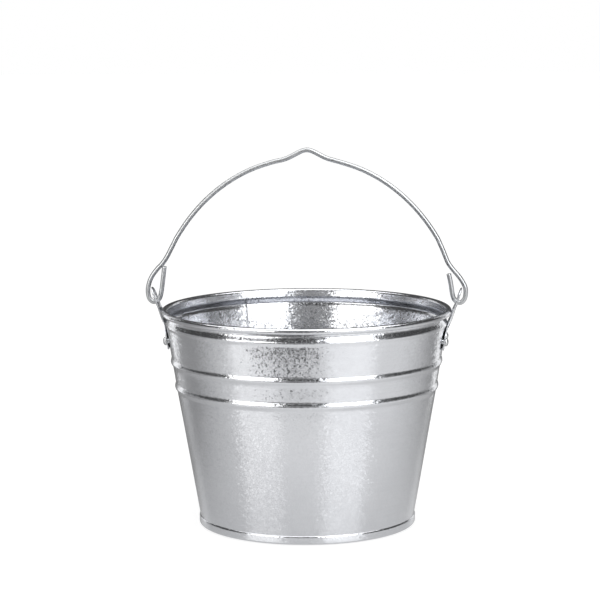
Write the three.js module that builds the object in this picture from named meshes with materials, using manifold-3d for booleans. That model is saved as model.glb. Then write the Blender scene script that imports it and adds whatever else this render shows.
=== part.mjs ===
// A florist bucket: a tapered pail of galvanised sheet steel with a wired rim, rolled beads,
// a seamed bottom, two riveted ears and a swinging wire bail.
// Millimetres, +Z up, the ears on the X axis, the origin at the middle of the foot.
import * as THREE from 'three';
import { mergeVertices } from 'three/addons/utils/BufferGeometryUtils.js';
import Module from 'manifold-3d';

const wasm = await Module();
wasm.setup();

// ---- driving dimensions -------------------------------------------------------------------

const sheet = 0.5; // thickness of the wall and bottom
const gap = 0.3; // clearance between pieces that touch
const roundSegments = 48; // flats around every turned piece

// Side wall: outer radius at each height, straight in between.
const wallLine = [
  [0, 85.4], // foot
  [104, 103.4], // below the beads
  [160, 112.25], // below the shoulder
  [162.4, 113.3], // shoulder
  [166.8, 111.45], // neck
  [171.6, 112.05], // where the rim's curl starts
];
const shoulderZ = 162.4;
const wallFootZ = 1.2; // lower edge, standing in the channel of the bottom

// Beads rolled outward in the wall.
const beads = [
  { z: 111.6, width: 8.4, height: 1.35 },
  { z: 131.7, width: 8.0, height: 1.3 },
];

// Rim: the wall curled outward around a wire.
const rimZ = wallLine.at(-1)[0]; // middle of the curl
const curlRadius = 2.45; // outside of the curl
const rimRadius = wallLine.at(-1)[1] - sheet + curlRadius;
const curlEnd = -(2 / 3) * Math.PI; // where the curled edge stops, under the wire
const rimWireRadius = 1.55;

// Lock seam that closes the wall into a cone.
const seamAngle = (121 / 180) * Math.PI;
const seamWidth = 6;
const seamHeight = 0.8;
const seamFootZ = 7.6;
const seamTopZ = 168.6;

// Bottom: a recessed disc whose flange folds around the foot of the wall.
const floorZ = 5.5; // top of the disc
const footBend = 0.5; // cut across the corners of the folds
const hemRadius = 87.4;
const hemTopZ = 7;

// Outer side of the hem: how far inside the hem's radius, height.
const hemProfile = [
  [1.2, 0],
  [0.5, 0.4],
  [0.15, 1.3],
  [0, 2.8],
  [0.04, 4.6],
  [0.14, 5.8],
  [0.3, hemTopZ],
];

// Ears: pressed from thicker sheet.
const earSheet = 1;
const padFootZ = 142;
const padHalfWidth = 20;
const padCorner = 4;
const padShoulderZ = 150.5; // where the pad starts to narrow
const padArch = 260; // radius that the pad is curved to, flatter than the wall behind it
const tongueHalfWidth = 9;
const tongueFootZ = 167.5;
const eyeZ = 182;
const eyeRadius = 5.8;
const eyeRingRadius = 8.6;

// Inner face of the tongue along the middle of the ear: height, distance from the axis.
const tongueLine = [
  [154, 109.4],
  [158.5, 113.2],
  [165.3, 116.1],
  [171.6, 118.2],
  [176, 119.5],
  [182.5, 121.5],
  [191, 124],
];
const tongueArch = 27; // radius that the tongue is dished to where it passes the rim
const eyeArch = 70; // flatter at the eye
const eyeLean = Math.atan(0.3); // the eye leans out with the tongue
const tongueFillet = 1; // how gently the tongue leaves the pad

// Rivets.
const rivetZ = 149;
const rivetAngle = (8.3 / 180) * Math.PI; // to each side of the ear's middle
const rivetTurn = (6 / 180) * Math.PI; // its axis, between square to the wall and to the pad
const rivetStandOff = 1; // from the wall to the pad at a rivet
const shankRadius = 2;
const headRadius = 3.3;
const headHeight = 2.4;
const rivetSides = 12;
const tailRadius = 3; // flat head inside the bucket
const tailHeight = 1.2;
const tailGap = 0.65; // the wall's flats come closer to the tail than its true round

// Bail: one wire in the XZ plane when it stands up. It is bent by hand, so its two sides are
// not quite alike.
const bailWireRadius = 1.875;
const archWidth = 125.8; // the arch is part of an ellipse: its half width
const archHeight = 145; // and its half height
const archMiddle = [0.5, 149.1];
const archStart = 12.5; // degrees from the top, where the arch leaves the notch
const archEnd = 56;
const archSteps = 6;
const leftTailTop = [114, 207];
const rightTailTop = [114, 201.5];

// Notch at the top, under which a hanging hook settles: distance from its own middle, height.
const notchMiddle = 1;
const notchLine = [
  [3.2, 299.85],
  [6.2, 298.6],
  [13.2, 295],
  [16.4, 293.6],
  [20, 292.5],
];
const notchTopZ = 300.45;

// Where each end of the arch bends outward, and the hook below: distance from the middle, height.
const leftBend = [
  [106.5, 225],
  [109.1, 220],
  [111.7, 215],
  [115, 210],
  [119.8, 204.8],
  [123.6, 199.8],
  [126, 195],
];
const rightBend = [
  [107.2, 225],
  [109.4, 220],
  [111.4, 215],
  [113.6, 210],
  [117.4, 204.8],
  [121.7, 199.8],
  [125, 195],
];
const hookLine = [
  [127.3, 190],
  [127.5, 185.2],
  [126.4, 180.9],
  [123.6, 178.3], // under the eye
  [120.6, 178.9],
  [118.2, 181.3],
  [116.9, 185.6],
  [115.9, 192],
];

// ---- solids -------------------------------------------------------------------------------

/** A closed three.js geometry as a solid that can be cut and joined. */
function toSolid(geometry) {
  const bare = geometry.clone();
  bare.deleteAttribute('normal');
  bare.deleteAttribute('uv');
  const merged = mergeVertices(bare, 1e-5);
  return new wasm.Manifold(
    new wasm.Mesh({
      numProp: 3,
      vertProperties: new Float32Array(merged.attributes.position.array),
      triVerts: new Uint32Array(merged.index.array),
    }),
  );
}

/** A solid back as a three.js geometry. */
function toGeometry(solid) {
  const mesh = solid.getMesh();
  const geometry = new THREE.BufferGeometry();
  geometry.setAttribute('position', new THREE.BufferAttribute(mesh.vertProperties, 3));
  geometry.setIndex(new THREE.BufferAttribute(mesh.triVerts, 1));
  geometry.computeVertexNormals();
  return geometry;
}

/** A closed outline of [radius, height] points turned about the Z axis. */
function turned(outline) {
  const points = outline.map(([radius, z]) => new THREE.Vector2(radius, z));
  const geometry = new THREE.LatheGeometry(points, roundSegments, Math.PI / 2);
  return geometry.rotateX(Math.PI / 2);
}

// ---- side wall ----------------------------------------------------------------------------

/** Straight-line reading of a list of [height, value] pairs, held beyond its ends. */
function along(line, z) {
  const next = line.findIndex(([height]) => height > z);
  if (next === 0) return line[0][1];
  if (next === -1) return line.at(-1)[1];
  const [z0, v0] = line[next - 1];
  const [z1, v1] = line[next];
  return THREE.MathUtils.mapLinear(z, z0, z1, v0, v1);
}

/** How far a bead stands out of the wall at a height. */
function beadLift(z) {
  let lift = 0;
  for (const bead of beads) {
    const t = (z - bead.z) / bead.width;
    if (Math.abs(t) < 0.5) lift += bead.height * Math.cos(Math.PI * t) ** 2;
  }
  return lift;
}

/** Heights where the outline of the wall needs a point. */
function wallHeights(from, to) {
  const closest = 1;
  const heights = [from, to, ...wallLine.map(([z]) => z)];
  for (const bead of beads) {
    for (const share of [-0.5, -0.25, 0, 0.25, 0.5]) heights.push(bead.z + share * bead.width);
  }
  const inside = heights.filter((z) => z >= from && z <= to).sort((a, b) => a - b);
  return inside.filter((z, i) => i === 0 || z - inside[i - 1] > closest);
}

/** The wall's outline moved square to itself; positive is outward. */
function wallOutline(from, to, offset) {
  const heights = wallHeights(from, to);
  const points = heights.map((z) => new THREE.Vector2(along(wallLine, z) + beadLift(z), z));
  return points.map((point, i) => {
    const before = points[Math.max(i - 1, 0)];
    const after = points[Math.min(i + 1, points.length - 1)];
    const run = after.clone().sub(before).normalize();
    return [point.x + offset * run.y, point.y - offset * run.x];
  });
}

/** An arc of the rim's curl, from past the wall's top edge over the rim to its tucked edge. */
function curlArc(radius, steps) {
  return Array.from({ length: steps }, (_, i) => {
    const angle = THREE.MathUtils.lerp(Math.PI, curlEnd, (i + 1) / steps);
    return [rimRadius + radius * Math.cos(angle), rimZ + radius * Math.sin(angle)];
  });
}

function wallSolid() {
  const outline = [
    ...wallOutline(wallFootZ, rimZ, 0),
    ...curlArc(curlRadius - sheet, 9),
    ...curlArc(curlRadius, 12).reverse(),
    ...wallOutline(wallFootZ, rimZ, -sheet).reverse(),
  ];
  return toSolid(turned([...outline, outline[0]]));
}

/** The strip that the folded seam adds to the outside of the wall. */
function seamSolid() {
  const outline = [
    ...wallOutline(seamFootZ, seamTopZ, seamHeight),
    ...wallOutline(seamFootZ, seamTopZ, -sheet / 2).reverse(),
  ];
  const sleeve = toSolid(turned([...outline, outline[0]]));
  const slot = new THREE.BoxGeometry(rimRadius * 2, seamWidth, rimZ * 2);
  slot.translate(rimRadius, 0, rimZ);
  slot.rotateZ(seamAngle);
  return sleeve.intersect(toSolid(slot));
}

// ---- rivets -------------------------------------------------------------------------------

/**
 * Where the rivet sits that is on one side of an ear, -1 or 1: its origin on the wall's outer
 * face, its own +Y pointing outward.
 */
function rivetPlace(earAngle, side) {
  const slope = (along(wallLine, rivetZ + 1) - along(wallLine, rivetZ - 1)) / 2;
  const turn = earAngle + side * rivetTurn;
  const outward = new THREE.Vector3(Math.cos(turn), Math.sin(turn), -slope).normalize();
  const radius = along(wallLine, rivetZ);
  const angle = earAngle + side * rivetAngle;
  const place = new THREE.Object3D();
  place.position.set(radius * Math.cos(angle), radius * Math.sin(angle), rivetZ);
  place.quaternion.setFromUnitVectors(new THREE.Vector3(0, 1, 0), outward);
  place.updateMatrix();
  return place;
}

function rivetGeometry() {
  const headFoot = rivetStandOff + earSheet + gap;
  const tailTop = -sheet - tailGap;
  const domeSteps = 4;
  const dome = Array.from({ length: domeSteps }, (_, i) => {
    const angle = (i / domeSteps) * (Math.PI / 2);
    return [headRadius * Math.cos(angle), headFoot + headHeight * Math.sin(angle)];
  });
  const outline = [
    [0, tailTop - tailHeight],
    [tailRadius - tailHeight / 2, tailTop - tailHeight],
    [tailRadius, tailTop - tailHeight / 2],
    [tailRadius, tailTop],
    [shankRadius, tailTop],
    [shankRadius, headFoot],
    ...dome,
    [0, headFoot + headHeight],
  ];
  return new THREE.LatheGeometry(outline.map(([r, y]) => new THREE.Vector2(r, y)), rivetSides);
}

/** The drills that make the rivet holes of the ear at an angle around the bucket. */
function rivetDrills(earAngle) {
  const radius = shankRadius + gap;
  const length = 12;
  return [-1, 1].map((side) => {
    const drill = new THREE.CylinderGeometry(radius, radius, length, rivetSides);
    return toSolid(drill.applyMatrix4(rivetPlace(earAngle, side).matrix));
  });
}

// ---- ears ---------------------------------------------------------------------------------

/** The ear's outline seen square to the wall: across the ear, height. */
function earShape() {
  const flattening = Math.cos(eyeLean);
  const inner = padHalfWidth - padCorner;
  const shape = new THREE.Shape();
  shape.moveTo(-inner, padFootZ);
  shape.lineTo(inner, padFootZ);
  shape.absarc(inner, padFootZ + padCorner, padCorner, -Math.PI / 2, 0);
  shape.lineTo(padHalfWidth, padShoulderZ);
  shape.bezierCurveTo(
    padHalfWidth, padShoulderZ + 8, tongueHalfWidth, tongueFootZ - 9, tongueHalfWidth, tongueFootZ,
  );
  shape.absellipse(0, eyeZ, eyeRingRadius, eyeRingRadius * flattening, 0, Math.PI);
  shape.lineTo(-tongueHalfWidth, tongueFootZ);
  shape.bezierCurveTo(
    -tongueHalfWidth, tongueFootZ - 9, -padHalfWidth, padShoulderZ + 8, -padHalfWidth, padShoulderZ,
  );
  shape.lineTo(-padHalfWidth, padFootZ + padCorner);
  shape.absarc(-inner, padFootZ + padCorner, padCorner, Math.PI, 1.5 * Math.PI);
  const eye = new THREE.Path();
  eye.absellipse(0, eyeZ, eyeRadius, eyeRadius * flattening, 0, 2 * Math.PI);
  shape.holes.push(eye);
  return shape;
}

/** Distance from the X=0 plane to the ear's inner face. */
function earInnerFace(y, z) {
  const wallRadius = along(wallLine, Math.min(z, shoulderZ));
  const pad = wallRadius + gap - y ** 2 / (2 * padArch);
  const flat = THREE.MathUtils.smoothstep(z, rimZ, eyeZ);
  const arch = y ** 2 / (2 * THREE.MathUtils.lerp(tongueArch, eyeArch, flat));
  const tongue = along(tongueLine, z) - arch;
  const blend = Math.max(tongueFillet - Math.abs(pad - tongue), 0);
  return Math.max(pad, tongue) + blend ** 2 / (4 * tongueFillet);
}

/** The ear on the +X side: a plate pressed to shape, then cut to the ear's outline. */
function earSolid() {
  const margin = 1; // of the plate around the outline
  const height = eyeZ + eyeRingRadius - padFootZ + 2 * margin;
  const width = 2 * (padHalfWidth + margin);
  const pressed = new THREE.BoxGeometry(earSheet, width, height, 1, 12, 18);
  pressed.translate(earSheet / 2, 0, padFootZ - margin + height / 2);
  const position = pressed.attributes.position;
  for (let i = 0; i < position.count; i += 1) {
    position.setX(i, position.getX(i) + earInnerFace(position.getY(i), position.getZ(i)));
  }
  const cutter = new THREE.ExtrudeGeometry(earShape(), {
    depth: rimRadius,
    bevelEnabled: false,
    curveSegments: 7,
  });
  cutter.applyMatrix4(
    new THREE.Matrix4().makeBasis(
      new THREE.Vector3(0, 1, 0),
      new THREE.Vector3(0, 0, 1),
      new THREE.Vector3(1, 0, 0),
    ),
  );
  cutter.translate(rimRadius / 2, 0, 0);
  let solid = toSolid(pressed).intersect(toSolid(cutter));
  for (const drill of rivetDrills(0)) solid = solid.subtract(drill);
  return solid;
}

// ---- bottom -------------------------------------------------------------------------------

/** The disc, its edge folded down, outward under the wall's foot and up around it. */
function bottomGeometry() {
  const channelZ = wallFootZ - 2 * gap;
  const discZ = floorZ - sheet;
  const outsideAt = (z) => along(wallLine, z) + gap;
  const insideAt = (z) => along(wallLine, z) - sheet - gap;
  const legAt = (z) => insideAt(z) - sheet;
  return turned([
    [0, discZ],
    [legAt(discZ) - footBend, discZ],
    [legAt(discZ - footBend), discZ - footBend],
    [legAt(footBend), footBend],
    [legAt(0) + footBend, 0],
    ...hemProfile.map(([inset, z]) => [hemRadius - inset, z]),
    [outsideAt(hemTopZ), hemTopZ],
    [outsideAt(channelZ), channelZ],
    [insideAt(channelZ), channelZ],
    [insideAt(discZ), discZ],
    [insideAt(floorZ) - footBend, floorZ],
    [0, floorZ],
  ]);
}

// ---- rim wire -----------------------------------------------------------------------------

function rimWireGeometry() {
  const sides = 8;
  const outline = Array.from({ length: sides + 1 }, (_, i) => {
    const angle = (i / sides) * 2 * Math.PI;
    return [
      rimRadius + rimWireRadius * Math.cos(angle),
      rimZ + rimWireRadius * Math.sin(angle),
    ];
  });
  return turned(outline);
}

// ---- bail ---------------------------------------------------------------------------------

/** The bail from beside its notch to the end of its hook, on one side: -1 left, 1 right. */
function bailSide(side, bend, tailTop) {
  const notch = notchLine.map(([x, z]) => [notchMiddle + side * x, z]);
  const arch = Array.from({ length: archSteps + 1 }, (_, i) => {
    const degrees = THREE.MathUtils.lerp(archStart, archEnd, i / archSteps);
    const angle = side * THREE.MathUtils.degToRad(degrees);
    const [x, z] = archMiddle;
    return [x + archWidth * Math.sin(angle), z + archHeight * Math.cos(angle)];
  });
  const hook = [...bend, ...hookLine, tailTop].map(([x, z]) => [side * x, z]);
  return [...notch, ...arch, ...hook];
}

/** A curve whose even steps are its control points' own, closer together in the hooks. */
class WireRoute extends THREE.CatmullRomCurve3 {
  getPointAt(u, target) {
    return this.getPoint(u, target);
  }

  getTangentAt(u, target) {
    return this.getTangent(u, target);
  }
}

function bailGeometry() {
  const left = bailSide(-1, leftBend, leftTailTop).reverse();
  const right = bailSide(1, rightBend, rightTailTop);
  const points = [...left, [notchMiddle, notchTopZ], ...right];
  const route = new WireRoute(
    points.map(([x, z]) => new THREE.Vector3(x, 0, z)),
    false,
    'centripetal',
  );
  const sides = 8;
  const section = new THREE.Shape(
    Array.from({ length: sides }, (_, i) => {
      const angle = (i / sides) * 2 * Math.PI;
      return new THREE.Vector2(
        bailWireRadius * Math.cos(angle),
        bailWireRadius * Math.sin(angle),
      );
    }),
  );
  return new THREE.ExtrudeGeometry(section, {
    steps: (points.length - 1) * 2,
    extrudePath: route,
    bevelEnabled: false,
  });
}

// ---- assembly -----------------------------------------------------------------------------

const bucket = new THREE.Group();

function add(name, geometry, finish) {
  const mesh = new THREE.Mesh(geometry, new THREE.MeshStandardMaterial(finish));
  mesh.name = name;
  bucket.add(mesh);
  return mesh;
}

const zincSheet = { color: 0xbfc3c7, roughness: 0.32, metalness: 1 };
const zincPressing = { color: 0xb4b8bb, roughness: 0.38, metalness: 1 };
const zincWire = { color: 0xa9acae, roughness: 0.35, metalness: 1 };
const rivetSteel = { color: 0xc4c6c8, roughness: 0.3, metalness: 1 };

let wall = wallSolid().add(seamSolid());
for (const drill of [...rivetDrills(0), ...rivetDrills(Math.PI)]) wall = wall.subtract(drill);
add('side_wall', toGeometry(wall), zincSheet);
add('bottom_pan', bottomGeometry(), zincSheet);
add('rim_wire', rimWireGeometry(), zincWire);

const ear = toGeometry(earSolid());
add('ear_right', ear, zincPressing);
add('ear_left', ear, zincPressing).rotation.z = Math.PI;

const rivet = rivetGeometry();
for (const [side, earAngle] of [['right', 0], ['left', Math.PI]]) {
  const towardsFront = side === 'right' ? -1 : 1;
  for (const [end, earSide] of [['front', towardsFront], ['rear', -towardsFront]]) {
    const mesh = add(`rivet_${side}_${end}`, rivet, rivetSteel);
    const place = rivetPlace(earAngle, earSide);
    mesh.position.copy(place.position);
    mesh.quaternion.copy(place.quaternion);
  }
}

add('bail', bailGeometry(), zincWire);

export default bucket;
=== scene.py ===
import math

import bmesh
import bpy
from mathutils import Matrix, Vector, noise


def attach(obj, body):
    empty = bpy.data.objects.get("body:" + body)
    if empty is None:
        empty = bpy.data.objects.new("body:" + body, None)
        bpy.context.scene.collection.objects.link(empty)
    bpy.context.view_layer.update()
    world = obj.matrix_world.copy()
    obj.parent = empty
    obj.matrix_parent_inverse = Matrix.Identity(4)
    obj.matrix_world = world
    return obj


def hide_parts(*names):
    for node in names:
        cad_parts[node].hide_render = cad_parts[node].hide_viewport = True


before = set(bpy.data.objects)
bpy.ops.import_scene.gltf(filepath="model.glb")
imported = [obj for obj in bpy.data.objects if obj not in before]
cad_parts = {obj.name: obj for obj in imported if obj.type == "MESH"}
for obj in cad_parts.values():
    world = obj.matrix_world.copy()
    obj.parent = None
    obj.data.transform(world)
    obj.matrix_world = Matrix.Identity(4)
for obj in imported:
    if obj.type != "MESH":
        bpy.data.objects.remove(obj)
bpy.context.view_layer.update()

MM = 0.001
TAU = 2 * math.pi

# ---- sizes, in millimetres ------------------------------------------------------------------

SHEET = 0.5  # thickness of the wall and the bottom
GAP = 0.3  # clearance between pieces that fit together

# Side wall: outer radius at each height, and the beads rolled into it.
WALL_LINE = [
    (0, 85.4), (104, 103.4), (160, 112.25), (162.4, 113.3), (166.8, 111.45), (171.84, 112.06),
]
WALL_FOOT = 1.2
WALL_NECK = WALL_LINE[-1][0]
NECK_LEAN = 7  # degrees, where the neck runs into the rim curl
BEADS = [(111.6, 8.4, 1.35), (131.7, 8.0, 1.3)]  # height, width, depth
SHOULDER_TOP = WALL_LINE[3][0]  # up to here the ears' pads follow the wall
SHOULDER = (157, 173)  # heights between which the wall is finely bent
KNEE = 1.0  # how far each way a change of slope in the wall is rounded
WALL_SEGMENTS = 224
BENT_STEP = 0.4  # up the wall, where it is bent
PLAIN_STEP = 2.0  # and elsewhere

# Slight waves in the wall's sheet.
WAVE_DEPTH = 0.12
WAVE_TURNS = 2.2  # how fast they change around the wall
WAVE_HEIGHT = 55  # and up it
WAVE_START = (8, 30)  # heights over which they grow from the hem up
WAVE_STOP = (150, 160)  # and over which they die out

# Rim curl around its wire.
RIM_HEIGHT = 171.6
CURL_RADIUS = 2.45
RIM_RADIUS = 114.0
CURL_END = -120  # degrees, where the curled edge stops
RIM_WIRE_RADIUS = 1.55
RIM_SEGMENTS = 240

# Lock seam of the wall.
SEAM_ANGLE = 121  # degrees from +X
SEAM_HALF_WIDTH = 3.0
SEAM_HEIGHT = 0.8
SEAM_FOOT = 7.6
SEAM_TOP = 168.6
SEAM_END = 1.0  # length over which it fades in and out
SEAM_EDGE = 0.5  # width of its rounded edges
SEAM_RADIUS = 104  # of the wall, at about its middle
GROOVE_DEPTH = 0.2  # inside, along the seam's edge
GROOVE_SIDES = (0.2, 0.7)  # half its width at the bottom and at the top

# Bottom.
FLOOR_HEIGHT = 5.5
HEM_TOP = 7.0
HEM_RADIUS = 87.4
HEM_ROLL = 2.1  # radius of its upper edge
HEM_ROLL_DROP = 1.7  # from the hem's top to the middle of that roll
HEM_ROLL_END = 49  # degrees
HEM_BEND = 1.5  # radius of its lower edge
HEM_LIP = 0.25  # how far below its top it meets the wall
HEM_LIP_GAP = 0.04  # and how far from the wall it stops
BOTTOM_SEGMENTS = 240
DISC_INSET = 1.4  # from the fold to where the disc starts to bend, underneath
DISC_BEND_UNDER = 1.0
DISC_BEND_OVER = 0.9
FOOT_BEND = 0.7  # inside the foot ring
FOOT_BEND_TOP = 1.0

# Ears.
EAR_SHEET = 1.0
PAD_FOOT = 142.0
PAD_HALF_WIDTH = 20.0
PAD_CORNER = 4.0
PAD_SHOULDER = 150.5  # where its sides start to draw in
PAD_ARCH = 260.0  # radius across it, flatter than the wall behind
TONGUE_HALF_WIDTH = 9.0
TONGUE_FOOT = 167.5
PAD_HANDLE = 8.0  # how long the outline runs upright from the pad
TONGUE_HANDLE = 9.0  # and into the tongue
TONGUE_LINE = [  # from the axis to its inner face at each height
    (154, 109.4), (158.5, 113.2), (165.3, 116.1), (171.6, 118.2),
    (176, 119.5), (182.5, 121.5), (191, 124),
]
TONGUE_ARCH = 27.0  # radius across the tongue
EYE_ARCH = 70.0  # and across the eye
EYE_HEIGHT = 182.0
EYE_RADIUS = 5.8
EYE_RING = 8.6  # radius of the ear's outline around it
EYE_LEAN = math.cos(math.atan(0.3))  # the eye leans out with the tongue
COLLAR_HEIGHT = 0.35  # the edge of the eye is pressed thicker
COLLAR_MIDDLE = 0.7  # from the eye's edge
COLLAR_WIDTH = 0.9
EAR_ROUNDING = 0.25
EAR_CUT = 0.8  # size of the ear's mesh

# Rivets.
RIVET_HEIGHT = 149.0
RIVET_ANGLE = 8.3  # degrees to each side of the ear's middle
RIVET_TURN = 6.0  # degrees, its axis, between square to the wall and to the pad
RIVET_STAND_OFF = 1.0  # from the wall to the pad at a rivet
SHANK_RADIUS = 2.0
HEAD_RADIUS = 3.3
HEAD_HEIGHT = 2.4
HEAD_EDGE = 0.3  # height of its upright edge
TAIL_RADIUS = 3.0
TAIL_HEIGHT = 1.2
TAIL_GAP = 0.65  # from the wall's inside
RIVET_SEGMENTS = 40

# Bail.
BAIL_WIRE_RADIUS = 1.875
WIRE_SIDES = 20
WIRE_STEPS = 12  # from one point of its line to the next
WIRE_END = 0.25  # rounding of its cut ends
WIRE_KNUCKLE = 0.07  # the same, half way around
ARCH_WIDTH = 125.8  # the arch is part of an ellipse: its half width
ARCH_HEIGHT = 145.0  # and its half height
ARCH_MIDDLE = (0.5, 149.1)
ARCH_ENDS = (12.5, 56)  # degrees from the top
ARCH_STEPS = 6
LEFT_TAIL_TOP = (114, 207)  # where the hooks end: outward from the axis, height
RIGHT_TAIL_TOP = (114, 201.5)
NOTCH_MIDDLE = 1.0  # to the right of the axis
NOTCH_TOP = 300.45
NOTCH_LINE = [(3.2, 299.85), (6.2, 298.6), (13.2, 295), (16.4, 293.6), (20, 292.5)]
LEFT_BEND = [  # where the end of the arch bends outward
    (106.5, 225), (109.1, 220), (111.7, 215), (115, 210), (119.8, 204.8), (123.6, 199.8), (126, 195),
]
RIGHT_BEND = [
    (107.2, 225), (109.4, 220), (111.4, 215), (113.6, 210), (117.4, 204.8), (121.7, 199.8),
    (125, 195),
]
HOOK_LINE = [  # down, in through the eye and up again
    (127.3, 190), (127.5, 185.2), (126.4, 180.9), (123.6, 178.3), (120.6, 178.9), (118.2, 181.3),
    (116.9, 185.6), (115.9, 192),
]

# ---- materials, camera and studio, in metres and degrees ------------------------------------

# Zinc: (dark, light) tints, (smoothest, roughest), the size of a crystal and how far it leans.
SHEET_TINTS = (0.65, 0.66, 0.69, 1), (0.77, 0.78, 0.805, 1)
WIRE_TINTS = (0.5, 0.51, 0.52, 1), (0.62, 0.63, 0.64, 1)
RIVET_TINTS = (0.58, 0.59, 0.6, 1), (0.7, 0.71, 0.72, 1)
SHEET_ZINC = (SHEET_TINTS, (0.13, 0.27), 0.0012, 0.11)
WIRE_ZINC = (WIRE_TINTS, (0.3, 0.4), 0.0012, 0.02)
EAR_ZINC = (SHEET_TINTS, (0.15, 0.27), 0.0012, 0.1)
RIVET_ZINC = (RIVET_TINTS, (0.18, 0.27), 0.001, 0.03)
RAGGED = 1.2  # how far the crystals' edges wander, in crystals
RAGGED_WAVES = 1.3  # and how often, to a crystal
RARITY = 2.5  # the higher, the fewer crystals lean far
LEAN_LEAST = 0.6  # as a share of how far the crystals lean
LEAN_MOST = 1.4
GRAIN = 2200.0  # the finest roughness, in waves to a metre
GRAIN_STRENGTH = 0.08
GRAIN_DEPTH = 0.0001
CLOUDS = 18.0  # waves to a metre
STREAKS = (22, 22, 1500)  # waves to a metre along X, Y and Z: drawn out level around the wall
CLOUD_SHARE = 1.1  # of each in the tint
STREAK_SHARE = 0.5
CRYSTAL_SHARE = 0.12
TINT_OFFSET = 0.36  # taken off their sum

TURN = 3.2  # of the camera to the right, so the bucket's right ear is nearer to it
CAMERA_DISTANCE = 1.878
CAMERA_HEIGHT = 0.445
CAMERA_PITCH = 8.033
CAMERA_PAN = 0.154
CAMERA_ROLL = 0.3
FOCAL_LENGTH = 141.85  # in millimetres, like the sensor's width
SENSOR_WIDTH = 36

# The room, as the metal sees it: grey in front just above the horizon, grey at the sides from
# a little above the horizon down, and dark elsewhere. Each fade is from none of a grey to all
# of it, in degrees from the camera's side or in the sine of the angle above the horizon.
ROOM_DARK = 0.06
ROOM_FRONT = 0.36
ROOM_SIDE = 0.36
FRONT_FADE = (60, 40)
SIDE_MIDDLE = 105
SIDE_FADE = (70, 45)  # from the sides' middle
HORIZON_FADE = (-0.02, 0.03)
FRONT_TOP_FADE = (0.35, 0.15)
SIDE_TOP_FADE = (0.17, 0.05)

# The set. Its materials are glow, shade and roughness.
FLOOR_WHITE = (0.75, 0.3, 0.8)
TABLE_WHITE = (0.66, 0.2, 0.25)
# Painted shade: a black sheet laid on the table, darkening its reflection in front of the bucket.
SHADE_SHEET_BLACK = (0.04, 0.0, 0.5)
FLOOR_SIZE = (16, 16)
FLOOR_CENTRE = (0, 0, -0.0005)
TABLE_SIZE = (2.4, 1.575)
TABLE_CENTRE = (0, -0.41, 0)
# The table's glow fades from its lit front to its back and left: painted shade for the bucket's shadow
# and the fall-off of light away from the lamps.
TABLE_DIM = 0.15  # the table's least glow
TABLE_BRIGHT_WAY = (0.3, -1, 0)
TABLE_FADE = (-0.18, 0.2)  # how far that way its glow starts and stops to grow
# The dark sheet is painted shade: it darkens the table where the wall mirrors it in front.
SHADE_SHEET_SIZE = (0.46, 0.6)  # a dark sheet in front of the bucket, mirrored in its wall
SHADE_SHEET_CENTRE = (-0.045, -0.705, 0.0002)
SHADE_SHEET_TURN = -9.2

SOFTBOX_DISTANCE = 1.4  # from the bucket's axis
# Softboxes: name, azimuth (0 is the camera's side, + to its right), width, bottom, top,
# radiance and colour.
SOFTBOXES = [
    ("left_softbox", -45, 1.0, 0.2, 0.88, 3.0, (1, 0.995, 0.98)),
    ("right_softbox", 37.5, 1.05, 0.2, 2.3, 3.0, (0.98, 0.99, 1)),
    ("rear_left_softbox", -138, 0.4, -0.4, 0.9, 0.9, (1, 1, 1)),
    ("rear_right_softbox", 145, 0.4, -0.4, 0.9, 0.8, (1, 1, 1)),
]
OVERHEAD_SIZE = (3.2, 1.8)
OVERHEAD_PLACE = (0, -0.35, 1.6)
OVERHEAD_RADIANCE = 1.9


# ---- meshes ---------------------------------------------------------------------------------

def smoothstep(x, low, high):
    t = min(max((x - low) / (high - low), 0.0), 1.0)
    return t * t * (3 - 2 * t)


def lerp(a, b, t):
    return a + (b - a) * t


def along(line, x):
    """Straight-line reading of a list of (place, value) pairs, held beyond its ends."""
    if x <= line[0][0]:
        return line[0][1]
    for (x0, v0), (x1, v1) in zip(line, line[1:]):
        if x <= x1:
            return lerp(v0, v1, (x - x0) / (x1 - x0))
    return line[-1][1]


def finish_piece(name, bm, body, nodes, material, sharp=35):
    """A mesh built in millimetres becomes a piece that rides on a body and replaces its nodes."""
    bmesh.ops.recalc_face_normals(bm, faces=bm.faces)
    for vert in bm.verts:
        vert.co *= MM
    mesh = bpy.data.meshes.new(name)
    bm.to_mesh(mesh)
    bm.free()
    mesh.shade_smooth()
    mesh.set_sharp_from_angle(angle=math.radians(sharp))
    mesh.materials.append(material)
    piece = bpy.data.objects.new(name, mesh)
    bpy.context.scene.collection.objects.link(piece)
    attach(piece, body)
    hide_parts(*nodes)
    return piece


def revolve(outline, angles, shift=None):
    """Turns a closed loop of (radius, height, side) about Z at the given angles in degrees.

    shift(angle, height, side) says how far outward a point moves.
    """
    bm = bmesh.new()
    rings = []
    for angle in angles:
        turn = math.radians(angle)
        ring = []
        for radius, height, side in outline:
            r = radius + (shift(angle, height, side) if shift else 0.0)
            ring.append(bm.verts.new((r * math.cos(turn), r * math.sin(turn), height)))
        rings.append(ring)
    count = len(outline)
    for ring, after in zip(rings, rings[1:] + rings[:1]):
        for j in range(count):
            k = (j + 1) % count
            bm.faces.new((ring[j], after[j], after[k], ring[k]))
    return bm


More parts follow.
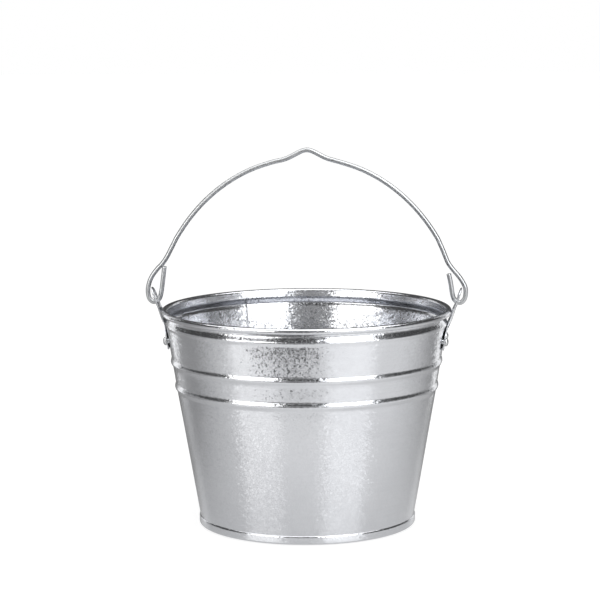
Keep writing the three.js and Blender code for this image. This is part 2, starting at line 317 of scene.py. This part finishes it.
def spin(outline, segments):
    """Turns an open outline of (radius, height) that starts and ends on the axis about Z."""
    bm = bmesh.new()
    first = bm.verts.new((0, 0, outline[0][1]))
    last = bm.verts.new((0, 0, outline[-1][1]))
    rings = []
    for i in range(segments):
        turn = TAU * i / segments
        rings.append([
            bm.verts.new((r * math.cos(turn), r * math.sin(turn), z)) for r, z in outline[1:-1]
        ])
    for i, ring in enumerate(rings):
        after = rings[(i + 1) % segments]
        bm.faces.new((first, after[0], ring[0]))
        bm.faces.new((last, ring[-1], after[-1]))
        for j in range(len(ring) - 1):
            bm.faces.new((ring[j], after[j], after[j + 1], ring[j + 1]))
    return bm


def arc(centre, radius, start, end, steps):
    """Points on an arc, angles in degrees."""
    points = []
    for i in range(steps + 1):
        turn = math.radians(lerp(start, end, i / steps))
        points.append((centre[0] + radius * math.cos(turn), centre[1] + radius * math.sin(turn)))
    return points


def circle(centre, radius, count):
    """Even points around a whole circle."""
    return arc(centre, radius, 0, 360, count)[:-1]


def even_angles(count):
    """Angles in degrees, evenly around a turn."""
    return [i * 360 / count for i in range(count)]


# ---- side wall ------------------------------------------------------------------------------

OUTSIDE, INSIDE, CURL = "outside", "inside", "curl"


def wall_radius(z):
    """Outer radius of the wall, its changes of slope rounded and its beads added."""
    steps = 6
    total = sum(along(WALL_LINE, z + KNEE * i / steps) for i in range(-steps, steps + 1))
    radius = total / (2 * steps + 1)
    for height, width, depth in BEADS:
        t = (z - height) / width
        if abs(t) < 0.5:
            radius += depth * math.cos(math.pi * t) ** 2
    return radius


def wall_heights():
    """Heights along the wall, close together where it is bent."""
    beside = 0.6
    heights = [WALL_FOOT]
    while heights[-1] < WALL_NECK:
        z = heights[-1]
        bent = SHOULDER[0] < z < SHOULDER[1]
        bent = bent or any(abs(z - height) < width / 2 + beside for height, width, _ in BEADS)
        heights.append(min(z + (BENT_STEP if bent else PLAIN_STEP), WALL_NECK))
    return heights


def wall_face(offset, side):
    """The wall's outline moved square to itself by offset, as one side of the sheet."""
    points = []
    rise = 0.1
    for z in wall_heights():
        run = wall_radius(z + rise / 2) - wall_radius(z - rise / 2)
        length = math.hypot(run, rise)
        points.append((wall_radius(z) + offset * rise / length, z - offset * run / length, side))
    return points


def wall_shift(angle, height, side):
    """The lock seam, raised outside and a fine groove inside, and the sheet's own waves."""
    if side == CURL:
        return 0.0
    across = (angle - SEAM_ANGLE) * math.radians(1) * along(WALL_LINE, height)
    ends = smoothstep(height, SEAM_FOOT, SEAM_FOOT + SEAM_END) * (
        1 - smoothstep(height, SEAM_TOP - SEAM_END, SEAM_TOP)
    )
    turn = math.radians(angle)
    place = Vector((WAVE_TURNS * math.cos(turn), WAVE_TURNS * math.sin(turn), height / WAVE_HEIGHT))
    quiet = smoothstep(height, *WAVE_START) * (1 - smoothstep(height, *WAVE_STOP))
    wave = WAVE_DEPTH * noise.noise(place) * quiet
    if side == OUTSIDE:
        strip = 1 - smoothstep(abs(across), SEAM_HALF_WIDTH - SEAM_EDGE, SEAM_HALF_WIDTH)
        return wave + SEAM_HEIGHT * strip * ends
    groove = 1 - smoothstep(abs(across + SEAM_HALF_WIDTH), *GROOVE_SIDES)
    return wave + GROOVE_DEPTH * groove * ends


def wall_angles():
    """Even steps around the wall, and closer ones at these places across the seam."""
    places = [-4.2, -3.6, -3.3, -3.0, -2.75, -2.5, -1.2, 0, 1.2, 2.5, 2.75, 3.0, 3.3, 4.2]
    close = [SEAM_ANGLE + math.degrees(place / SEAM_RADIUS) for place in places]
    apart = 0.4
    even = even_angles(WALL_SEGMENTS)
    kept = [angle for angle in even if not close[0] - apart <= angle <= close[-1] + apart]
    return sorted(kept + close)


def build_side_wall(material):
    centre = (RIM_RADIUS, RIM_HEIGHT)
    inner_arc = arc(centre, CURL_RADIUS - SHEET, 180 - NECK_LEAN, CURL_END, 24)
    outer_arc = arc(centre, CURL_RADIUS, CURL_END, 180 - NECK_LEAN, 32)
    outline = [
        *wall_face(0, OUTSIDE),
        *((r, z, CURL) for r, z in inner_arc[1:]),
        *((r, z, CURL) for r, z in outer_arc[:-1]),
        *reversed(wall_face(-SHEET, INSIDE)),
    ]
    bm = revolve(outline, wall_angles(), wall_shift)
    return finish_piece("side_wall_sheet", bm, "pail", ["side_wall"], material)


# ---- bottom and rim wire --------------------------------------------------------------------

def build_bottom(material):
    """A disc that folds down inside the wall's foot, round under it and up outside it."""

    def inside(z):
        return along(WALL_LINE, z) - SHEET - GAP

    channel = WALL_FOOT - 2 * GAP
    disc = FLOOR_HEIGHT - SHEET
    bend = inside(disc) - SHEET - DISC_INSET
    foot = inside(FOOT_BEND_TOP) - SHEET
    over = inside(disc) - DISC_BEND_OVER
    outline = [
        (0, disc),
        (bend, disc),
        *arc((bend, disc - DISC_BEND_UNDER), DISC_BEND_UNDER, 90, 15, 5),
        (foot, FOOT_BEND_TOP),
        *arc((foot + FOOT_BEND, FOOT_BEND), FOOT_BEND, 180, 270, 5),
        *arc((HEM_RADIUS - HEM_BEND, HEM_BEND), HEM_BEND, -90, 0, 8),
        *arc((HEM_RADIUS - HEM_ROLL, HEM_TOP - HEM_ROLL_DROP), HEM_ROLL, 0, HEM_ROLL_END, 8),
        (along(WALL_LINE, HEM_TOP) + HEM_LIP_GAP, HEM_TOP - HEM_LIP),
        (along(WALL_LINE, channel) + GAP, channel),
        (inside(channel), channel),
        (inside(disc), disc - SHEET),
        *arc((over, FLOOR_HEIGHT - DISC_BEND_OVER), DISC_BEND_OVER, 0, 90, 6),
        (0, FLOOR_HEIGHT),
    ]
    bm = spin(outline, BOTTOM_SEGMENTS)
    return finish_piece("bottom_sheet", bm, "pail", ["bottom_pan"], material)


def build_rim_wire(material):
    ring = circle((RIM_RADIUS, RIM_HEIGHT), RIM_WIRE_RADIUS, 24)
    outline = [(r, z, CURL) for r, z in ring]
    bm = revolve(outline, even_angles(RIM_SEGMENTS))
    return finish_piece("rim_wire_ring", bm, "pail", ["rim_wire"], material)


# ---- rivets ---------------------------------------------------------------------------------

def rivet_matrix(ear_angle, side):
    """Stands a rivet, built along +Z from the wall's outer face, on one side of an ear."""
    slope = (along(WALL_LINE, RIVET_HEIGHT + 1) - along(WALL_LINE, RIVET_HEIGHT - 1)) / 2
    turn = math.radians(ear_angle + side * RIVET_TURN)
    outward = Vector((math.cos(turn), math.sin(turn), -slope)).normalized()
    angle = math.radians(ear_angle + side * RIVET_ANGLE)
    radius = along(WALL_LINE, RIVET_HEIGHT)
    place = Vector((radius * math.cos(angle), radius * math.sin(angle), RIVET_HEIGHT))
    return Matrix.Translation(place) @ outward.to_track_quat("Z", "Y").to_matrix().to_4x4()


def build_rivet(name, ear_angle, side, material):
    """A flat tail with a rolled edge inside, the shank, and a domed head outside."""
    head = RIVET_STAND_OFF + EAR_SHEET + GAP
    tail = -SHEET - TAIL_GAP
    dome = []
    dome_steps = 8
    for i in range(dome_steps + 1):
        turn = math.radians(i * 90 / dome_steps)
        dome.append((
            HEAD_RADIUS * math.cos(turn) ** 0.9,
            head + HEAD_EDGE + (HEAD_HEIGHT - HEAD_EDGE) * math.sin(turn),
        ))
    outline = [
        (0, tail - TAIL_HEIGHT + 0.15),
        (TAIL_RADIUS * 0.55, tail - TAIL_HEIGHT),
        (TAIL_RADIUS * 0.85, tail - TAIL_HEIGHT + 0.1),
        (TAIL_RADIUS, tail - TAIL_HEIGHT * 0.55),
        (TAIL_RADIUS * 0.97, tail - 0.1),
        (TAIL_RADIUS * 0.9, tail),
        (SHANK_RADIUS, tail),
        (SHANK_RADIUS, head),
        (HEAD_RADIUS * 0.95, head),
        (HEAD_RADIUS, head + 0.12),
        *dome[:-1],
        (0, head + HEAD_HEIGHT),
    ]
    bm = spin(outline, RIVET_SEGMENTS)
    bmesh.ops.transform(bm, matrix=rivet_matrix(ear_angle, side), verts=bm.verts)
    return finish_piece(f"{name}_head", bm, "pail", [name], material, sharp=40)


# ---- ears -----------------------------------------------------------------------------------

def bezier(p0, p1, p2, p3, steps):
    """Points on a cubic Bezier curve in a plane."""
    points = []
    for i in range(steps + 1):
        t = i / steps
        s = 1 - t
        weights = (s ** 3, 3 * s * s * t, 3 * s * t * t, t ** 3)
        points.append(tuple(
            sum(w * p[axis] for w, p in zip(weights, (p0, p1, p2, p3))) for axis in (0, 1)
        ))
    return points


def leaned(points):
    """Points around the eye as they are seen level, the eye itself leaning out."""
    return [(y, EYE_HEIGHT + (z - EYE_HEIGHT) * EYE_LEAN) for y, z in points]


def ear_outline():
    """The ear's outline seen square to the wall: (across, height)."""
    inner = PAD_HALF_WIDTH - PAD_CORNER
    right = [
        (0, PAD_FOOT),
        *arc((inner, PAD_FOOT + PAD_CORNER), PAD_CORNER, -90, 0, 8),
        *bezier(
            (PAD_HALF_WIDTH, PAD_SHOULDER), (PAD_HALF_WIDTH, PAD_SHOULDER + PAD_HANDLE),
            (TONGUE_HALF_WIDTH, TONGUE_FOOT - TONGUE_HANDLE), (TONGUE_HALF_WIDTH, TONGUE_FOOT), 16,
        ),
    ]
    right += leaned(arc((0, EYE_HEIGHT), EYE_RING, 0, 90, 14))
    left = [(-y, z) for y, z in reversed(right[1:-1])]
    return right + left


def rivet_hole(side):
    """A rivet hole in the ear's outline."""
    turn = math.radians(RIVET_ANGLE)
    middle = side * along(WALL_LINE, RIVET_HEIGHT) * math.sin(turn)
    return circle((middle, RIVET_HEIGHT), SHANK_RADIUS + GAP, 24)


def ear_inner_face(y, z):
    """Distance from the X=0 plane to the ear's inner face: pad and tongue, softly joined."""
    pad = along(WALL_LINE, min(z, SHOULDER_TOP)) + GAP - y ** 2 / (2 * PAD_ARCH)
    flat = smoothstep(z, RIM_HEIGHT, EYE_HEIGHT)
    tongue = along(TONGUE_LINE, z) - y ** 2 / (2 * lerp(TONGUE_ARCH, EYE_ARCH, flat))
    blend = max(1 - abs(pad - tongue), 0)
    return max(pad, tongue) + blend ** 2 / 4


def flat_plate(outlines, thickness, rounding):
    """A plate in the YZ plane, its edges rounded, as a mesh whose X runs 0 to thickness."""
    curve = bpy.data.curves.new("plate", "CURVE")
    curve.dimensions = "2D"
    curve.fill_mode = "BOTH"
    curve.extrude = thickness / 2 - rounding
    curve.bevel_depth = rounding
    curve.bevel_resolution = 2
    curve.offset = -rounding
    for outline in outlines:
        spline = curve.splines.new("POLY")
        spline.points.add(len(outline) - 1)
        for point, (y, z) in zip(spline.points, outline):
            point.co = (y, z, 0, 1)
        spline.use_cyclic_u = True
    holder = bpy.data.objects.new("plate", curve)
    bpy.context.scene.collection.objects.link(holder)
    graph = bpy.context.evaluated_depsgraph_get()
    mesh = bpy.data.meshes.new_from_object(holder.evaluated_get(graph), depsgraph=graph)
    bm = bmesh.new()
    bm.from_mesh(mesh)
    bpy.data.objects.remove(holder)
    bpy.data.curves.remove(curve)
    bpy.data.meshes.remove(mesh)
    for vert in bm.verts:
        y, z, x = vert.co
        vert.co = (x + thickness / 2, y, z)
    bmesh.ops.remove_doubles(bm, verts=bm.verts, dist=0.001)
    return bm


def slice_mesh(bm, axis, low, high, step):
    """Cuts a mesh with evenly spaced planes, so that it can be pressed to shape."""
    normal = Vector((0, 0, 0))
    normal[axis] = 1
    for i in range(int((high - low) / step) + 1):
        place = normal * (low + i * step)
        geometry = bm.verts[:] + bm.edges[:] + bm.faces[:]
        bmesh.ops.bisect_plane(bm, geom=geometry, plane_co=place, plane_no=normal, dist=1e-4)


def build_ear(name, side, material):
    eye = leaned(circle((0, EYE_HEIGHT), EYE_RADIUS, 48))
    outlines = [ear_outline(), eye, rivet_hole(1), rivet_hole(-1)]
    bm = flat_plate(outlines, EAR_SHEET, EAR_ROUNDING)
    slice_mesh(bm, 1, -PAD_HALF_WIDTH, PAD_HALF_WIDTH, EAR_CUT)
    slice_mesh(bm, 2, PAD_FOOT, EYE_HEIGHT + EYE_RING, EAR_CUT)
    for vert in bm.verts:
        x, y, z = vert.co
        from_eye = math.hypot(y, (z - EYE_HEIGHT) / EYE_LEAN)
        from_collar = (from_eye - EYE_RADIUS - COLLAR_MIDDLE) / COLLAR_WIDTH
        collar = COLLAR_HEIGHT * math.exp(-from_collar ** 2)
        outer = 1 if x > EAR_SHEET / 2 else -1
        vert.co.x = x + ear_inner_face(y, z) + outer * collar
    if side < 0:
        bmesh.ops.rotate(bm, verts=bm.verts, cent=(0, 0, 0), matrix=Matrix.Rotation(math.pi, 3, "Z"))
    return finish_piece(
        f"{name}_pressing", bm, "pail", [name], material, sharp=50
    )


# ---- bail -----------------------------------------------------------------------------------

def bail_side(side, bend, tail_top):
    """The bail from beside its notch to the end of its hook, on one side: -1 left, 1 right."""
    points = [(NOTCH_MIDDLE + side * x, z) for x, z in NOTCH_LINE]
    for i in range(ARCH_STEPS + 1):
        turn = side * math.radians(lerp(*ARCH_ENDS, i / ARCH_STEPS))
        points.append((
            ARCH_MIDDLE[0] + ARCH_WIDTH * math.sin(turn),
            ARCH_MIDDLE[1] + ARCH_HEIGHT * math.cos(turn),
        ))
    return points + [(side * x, z) for x, z in (*bend, *HOOK_LINE, tail_top)]


def through(points, steps):
    """A smooth centripetal curve through points, with steps to each stretch."""
    points = [Vector(p) for p in points]
    ends = [2 * points[0] - points[1], *points, 2 * points[-1] - points[-2]]
    route = []
    for p0, p1, p2, p3 in zip(ends, ends[1:], ends[2:], ends[3:]):
        d0, d1, d2 = ((b - a).length ** 0.5 for a, b in ((p0, p1), (p1, p2), (p2, p3)))
        m1 = ((p1 - p0) / d0 - (p2 - p0) / (d0 + d1) + (p2 - p1) / d1) * d1
        m2 = ((p2 - p1) / d1 - (p3 - p1) / (d1 + d2) + (p3 - p2) / d2) * d1
        for i in range(steps):
            t = i / steps
            a = 2 * p1 - 2 * p2 + m1 + m2
            b = -3 * p1 + 3 * p2 - 2 * m1 - m2
            route.append(((a * t + b) * t + m1) * t + p1)
    route.append(points[-1])
    return route


def sweep_flat(route, radius, sides):
    """A round wire along a route that lies in the XZ plane, its cut ends a little rounded."""
    bm = bmesh.new()
    across = Vector((0, 1, 0))
    rings = []

    def add_ring(centre, forward, size):
        out = across.cross(forward).normalized()
        ring = []
        for i in range(sides):
            turn = TAU * i / sides
            ring.append(bm.verts.new(centre + size * (math.cos(turn) * out + math.sin(turn) * across)))
        rings.append(ring)

    first = (route[1] - route[0]).normalized()
    last = (route[-1] - route[-2]).normalized()
    add_ring(route[0], first, radius - WIRE_END)
    add_ring(route[0] + first * WIRE_KNUCKLE, first, radius - WIRE_KNUCKLE)
    add_ring(route[0] + first * WIRE_END, first, radius)
    for before, here, after in zip(route, route[1:], route[2:]):
        add_ring(here, (after - before).normalized(), radius)
    add_ring(route[-1] - last * WIRE_END, last, radius)
    add_ring(route[-1] - last * WIRE_KNUCKLE, last, radius - WIRE_KNUCKLE)
    add_ring(route[-1], last, radius - WIRE_END)
    for ring, after in zip(rings, rings[1:]):
        for i in range(sides):
            j = (i + 1) % sides
            bm.faces.new((ring[i], ring[j], after[j], after[i]))
    bm.faces.new(reversed(rings[0]))
    bm.faces.new(rings[-1])
    return bm


def build_bail(material):
    left = bail_side(-1, LEFT_BEND, LEFT_TAIL_TOP)
    right = bail_side(1, RIGHT_BEND, RIGHT_TAIL_TOP)
    points = [*reversed(left), (NOTCH_MIDDLE, NOTCH_TOP), *right]
    route = through([(x, 0, z) for x, z in points], WIRE_STEPS)
    bm = sweep_flat(route, BAIL_WIRE_RADIUS, WIRE_SIDES)
    return finish_piece("bail_wire", bm, "bail", ["bail"], material)


# ---- materials ------------------------------------------------------------------------------

def add_node(tree, kind, values=None, **settings):
    """Adds a node. values sets or links its inputs, settings sets its own properties."""
    node = tree.nodes.new(kind)
    for key, value in settings.items():
        setattr(node, key, value)
    for socket, value in (values or {}).items():
        if isinstance(value, bpy.types.NodeSocket):
            tree.links.new(value, node.inputs[socket])
        else:
            node.inputs[socket].default_value = value
    return node


class Nodes:
    """A new material, and a short way to add nodes to its tree."""

    def __init__(self, name):
        self.material = bpy.data.materials.new(name)
        self.material.use_nodes = True
        self.tree = self.material.node_tree
        self.shader = self.tree.nodes["Principled BSDF"]

    def add(self, kind, values=None, **settings):
        return add_node(self.tree, kind, values, **settings)

    def link(self, source, socket):
        self.tree.links.new(source, self.shader.inputs[socket])


def crystals(n, place, crystal):
    """One random colour for each zinc crystal, the crystals being ragged cells in space."""
    ragged = n.add("ShaderNodeTexNoise", {
        "Vector": place, "Scale": RAGGED_WAVES / crystal, "Detail": 3.0,
    })
    centred = n.add("ShaderNodeVectorMath", {0: ragged.outputs["Color"], 1: (0.5, 0.5, 0.5)},
                    operation="SUBTRACT")
    moved = n.add("ShaderNodeVectorMath",
                  {0: centred.outputs[0], 1: (crystal * RAGGED,) * 3, 2: place},
                  operation="MULTIPLY_ADD")
    cells = n.add("ShaderNodeTexVoronoi", {"Vector": moved.outputs[0], "Scale": 1 / crystal})
    return cells.outputs["Color"]


def crystal_normal(n, place, colour, chance, tilt):
    """The surface's normal, leaning a little on most crystals and more on a few, and grainy."""
    facing = n.add("ShaderNodeVectorMath", {0: colour, 1: (0.5, 0.5, 0.5)}, operation="SUBTRACT")
    rare = n.add("ShaderNodeMath", {0: chance, 1: RARITY}, operation="POWER")
    lean = n.add("ShaderNodeMapRange", {
        "Value": rare.outputs[0], "To Min": tilt * LEAN_LEAST, "To Max": tilt * LEAN_MOST,
    })
    surface = n.add("ShaderNodeNewGeometry").outputs["Normal"]
    leaned = n.add("ShaderNodeVectorMath", {0: facing.outputs[0], 1: lean.outputs[0], 2: surface},
                   operation="MULTIPLY_ADD")
    normal = n.add("ShaderNodeVectorMath", {0: leaned.outputs[0]}, operation="NORMALIZE")
    grain = n.add("ShaderNodeTexNoise", {"Vector": place, "Scale": GRAIN, "Detail": 2.0})
    bump = n.add("ShaderNodeBump", {
        "Height": grain.outputs["Fac"], "Normal": normal.outputs[0],
        "Strength": GRAIN_STRENGTH, "Distance": GRAIN_DEPTH,
    })
    return bump.outputs[0]


def zinc_tint(n, place, chance, tints):
    """A tint between the two given: clouds, level streaks and a little from crystal to crystal."""
    cloud = n.add("ShaderNodeTexNoise", {"Vector": place, "Scale": CLOUDS, "Detail": 4.0})
    drawn_out = n.add("ShaderNodeVectorMath", {0: place, 1: STREAKS}, operation="MULTIPLY")
    streaks = n.add("ShaderNodeTexNoise", {
        "Vector": drawn_out.outputs[0], "Scale": 1.0, "Detail": 2.0,
    })
    spread = n.add("ShaderNodeMath", {0: chance, 1: CRYSTAL_SHARE}, operation="MULTIPLY")
    streaked = n.add("ShaderNodeMath",
                     {0: streaks.outputs["Fac"], 1: STREAK_SHARE, 2: spread.outputs[0]},
                     operation="MULTIPLY_ADD")
    clouded = n.add("ShaderNodeMath",
                    {0: cloud.outputs["Fac"], 1: CLOUD_SHARE, 2: streaked.outputs[0]},
                    operation="MULTIPLY_ADD")
    centred = n.add("ShaderNodeMath", {0: clouded.outputs[0], 1: TINT_OFFSET},
                    operation="SUBTRACT")
    tint = n.add("ShaderNodeMixRGB", {
        "Fac": centred.outputs[0], "Color1": tints[0], "Color2": tints[1],
    })
    return tint.outputs[0]


def zinc(name, tints, rough, crystal, tilt):
    """Hot-dip zinc: small crystals, most of which lean a little and a few a little more.

    tints is (dark, light), rough is (smoothest, roughest), crystal the size of a crystal in
    metres and tilt how far it leans.
    """
    n = Nodes(name)
    place = n.add("ShaderNodeTexCoord").outputs["Object"]
    colour = crystals(n, place, crystal)
    chances = n.add("ShaderNodeSeparateColor", {"Color": colour}).outputs
    n.link(crystal_normal(n, place, colour, chances[2], tilt), "Normal")
    n.link(zinc_tint(n, place, chances[0], tints), "Base Color")
    roughness = n.add("ShaderNodeMapRange", {
        "Value": chances[1], "To Min": rough[0], "To Max": rough[1],
    })
    n.link(roughness.outputs[0], "Roughness")
    n.shader.inputs["Metallic"].default_value = 1.0
    return n.material


def set_material(name, glow, shade, roughness):
    """The nodes of a material of the set: it glows white by itself, and its own grey is shade."""
    n = Nodes(name)
    n.shader.inputs["Base Color"].default_value = (shade, shade, shade, 1)
    n.shader.inputs["Roughness"].default_value = roughness
    n.shader.inputs["Emission Color"].default_value = (1, 1, 1, 1)
    n.shader.inputs["Emission Strength"].default_value = glow
    n.material.cycles.emission_sampling = "NONE"
    return n


def table_material():
    """White that glows less behind the bucket and to its left: painted shade, standing in for the
    bucket's shadow on the table and the light falling off away from the lamps.
    """
    n = set_material("table_white", *TABLE_WHITE)
    place = n.add("ShaderNodeTexCoord").outputs["Object"]
    to_light = n.add("ShaderNodeVectorMath", {0: place, 1: TABLE_BRIGHT_WAY},
                     operation="DOT_PRODUCT")
    # Painted shade: the glow dims away from the lamps and into the bucket's shadow.
    glow = n.add("ShaderNodeMapRange", {
        "Value": to_light.outputs["Value"],
        "From Min": TABLE_FADE[0], "From Max": TABLE_FADE[1],
        "To Min": TABLE_DIM, "To Max": TABLE_WHITE[0],
    })
    n.link(glow.outputs[0], "Emission Strength")
    return n.material


# ---- studio ---------------------------------------------------------------------------------

def stage_sheet(name, size, centre, turn, material):
    """A level rectangular sheet of the set, turned about the bucket's axis.

    Lengths are in metres, turn is in degrees.
    """
    bm = bmesh.new()
    half_x, half_y = size[0] / 2, size[1] / 2
    corners = [(-half_x, -half_y), (half_x, -half_y), (half_x, half_y), (-half_x, half_y)]
    bm.faces.new([bm.verts.new((x, y, 0)) for x, y in corners])
    placed = Matrix.Rotation(math.radians(turn), 4, "Z") @ Matrix.Translation(centre)
    bmesh.ops.transform(bm, matrix=placed, verts=bm.verts)
    mesh = bpy.data.meshes.new(name)
    bm.to_mesh(mesh)
    bm.free()
    mesh.materials.append(material)
    sheet = bpy.data.objects.new(name, mesh)
    bpy.context.scene.collection.objects.link(sheet)
    return sheet


def build_set():
    """The camera sees a wide white floor. The metal mirrors a smaller table and a dark sheet laid on
    it, which paints shade into the table's reflection.
    """
    floor_white = set_material("floor_white", *FLOOR_WHITE).material
    shade_sheet_black = set_material("shade_sheet_black", *SHADE_SHEET_BLACK).material
    floor = stage_sheet("floor", FLOOR_SIZE, FLOOR_CENTRE, 0, floor_white)
    floor.visible_glossy = False
    table = stage_sheet("table", TABLE_SIZE, TABLE_CENTRE, 0, table_material())
    # A black sheet on the table: painted shade in the wall's reflection.
    shade_sheet = stage_sheet("shade_sheet", SHADE_SHEET_SIZE, SHADE_SHEET_CENTRE, SHADE_SHEET_TURN, shade_sheet_black)
    for sheet in (table, shade_sheet):
        sheet.visible_camera = False
        sheet.visible_diffuse = False
        sheet.visible_shadow = False


def panel_light(name, size, radiance, colour, placed):
    """A rectangular light that only reflections see, facing along its own -Z."""
    light = bpy.data.lights.new(name, "AREA")
    light.shape = "RECTANGLE"
    light.size, light.size_y = size
    light.energy = radiance * math.pi * size[0] * size[1]
    light.color = colour
    lamp = bpy.data.objects.new(name, light)
    lamp.matrix_world = placed
    lamp.visible_camera = False
    lamp.visible_diffuse = False
    bpy.context.scene.collection.objects.link(lamp)


def build_lights():
    """Upright softboxes around the bucket, facing it, and a level light above it."""
    for name, azimuth, width, bottom, top, radiance, colour in SOFTBOXES:
        turn = math.radians(azimuth + TURN)
        back = Vector((math.sin(turn), -math.cos(turn), 0))
        middle = back * SOFTBOX_DISTANCE + Vector((0, 0, (bottom + top) / 2))
        placed = Matrix.Translation(middle) @ back.to_track_quat("Z", "Y").to_matrix().to_4x4()
        panel_light(name, (width, top - bottom), radiance, colour, placed)
    above = Matrix.Translation(OVERHEAD_PLACE)
    panel_light("overhead", OVERHEAD_SIZE, OVERHEAD_RADIANCE, (1, 1, 1), above)


def build_world():
    """White to the camera and the floor. The metal sees a dark room with a grey horizon."""
    world = bpy.data.worlds.new("studio")
    world.use_nodes = True
    tree = world.node_tree

    def add(kind, values=None, **settings):
        return add_node(tree, kind, values, **settings)

    def maths(operation, a, b=0.0):
        return add("ShaderNodeMath", {0: a, 1: b}, operation=operation).outputs[0]

    def fade(value, start, end):
        """0 at start, 1 at end and beyond."""
        return add("ShaderNodeMapRange", {
            "Value": value, "From Min": start, "From Max": end,
        }).outputs[0]

    def fade_degrees(value, start, end):
        return fade(value, math.radians(start), math.radians(end))

    way = add("ShaderNodeSeparateXYZ", {0: add("ShaderNodeTexCoord").outputs["Generated"]})
    turn = maths("ARCTAN2", way.outputs["X"], maths("MULTIPLY", way.outputs["Y"], -1.0))
    off_front = maths("ABSOLUTE", maths("SUBTRACT", turn, math.radians(TURN)))
    off_side = maths("ABSOLUTE", maths("SUBTRACT", off_front, math.radians(SIDE_MIDDLE)))
    height = way.outputs["Z"]
    front = maths("MULTIPLY", fade_degrees(off_front, *FRONT_FADE), fade(height, *HORIZON_FADE))
    front_low = maths("MULTIPLY", front, fade(height, *FRONT_TOP_FADE))
    side_low = maths("MULTIPLY", fade_degrees(off_side, *SIDE_FADE), fade(height, *SIDE_TOP_FADE))
    with_front = add("ShaderNodeMix", {0: front_low, 2: ROOM_DARK, 3: ROOM_FRONT})
    room = add("ShaderNodeMix", {0: side_low, 2: with_front.outputs[0], 3: ROOM_SIDE})
    path = add("ShaderNodeLightPath")
    mix = add("ShaderNodeMixRGB", {
        "Fac": path.outputs["Is Glossy Ray"], "Color1": (1, 1, 1, 1), "Color2": room.outputs[0],
    })
    tree.links.new(mix.outputs[0], tree.nodes["Background"].inputs["Color"])
    bpy.context.scene.world = world


def build_camera():
    turn = math.radians(TURN)
    lens = bpy.data.cameras.new("camera")
    lens.lens = FOCAL_LENGTH
    lens.sensor_width = SENSOR_WIDTH
    camera = bpy.data.objects.new("camera", lens)
    place = (CAMERA_DISTANCE * math.sin(turn), -CAMERA_DISTANCE * math.cos(turn), CAMERA_HEIGHT)
    camera.matrix_world = (
        Matrix.Translation(place)
        @ Matrix.Rotation(turn + math.radians(CAMERA_PAN), 4, "Z")
        @ Matrix.Rotation(math.radians(90 - CAMERA_PITCH), 4, "X")
        @ Matrix.Rotation(math.radians(-CAMERA_ROLL), 4, "Z")
    )
    bpy.context.scene.collection.objects.link(camera)
    bpy.context.scene.camera = camera


# ---- the bucket -----------------------------------------------------------------------------

build_camera()
build_set()
build_world()
build_lights()

sheet_zinc = zinc("sheet_zinc", *SHEET_ZINC)
wire_zinc = zinc("wire_zinc", *WIRE_ZINC)
ear_zinc = zinc("ear_zinc", *EAR_ZINC)
rivet_zinc = zinc("rivet_zinc", *RIVET_ZINC)

build_side_wall(sheet_zinc)
build_bottom(sheet_zinc)
build_rim_wire(wire_zinc)
for hand, ear_side in (("right", 1), ("left", -1)):
    build_ear(f"ear_{hand}", ear_side, ear_zinc)
for hand, ear_angle, front in (("right", 0, -1), ("left", 180, 1)):
    build_rivet(f"rivet_{hand}_front", ear_angle, front, rivet_zinc)
    build_rivet(f"rivet_{hand}_rear", ear_angle, -front, rivet_zinc)
build_bail(wire_zinc)

view = bpy.context.scene.view_settings
view.view_transform = "Standard"
view.look = "None"
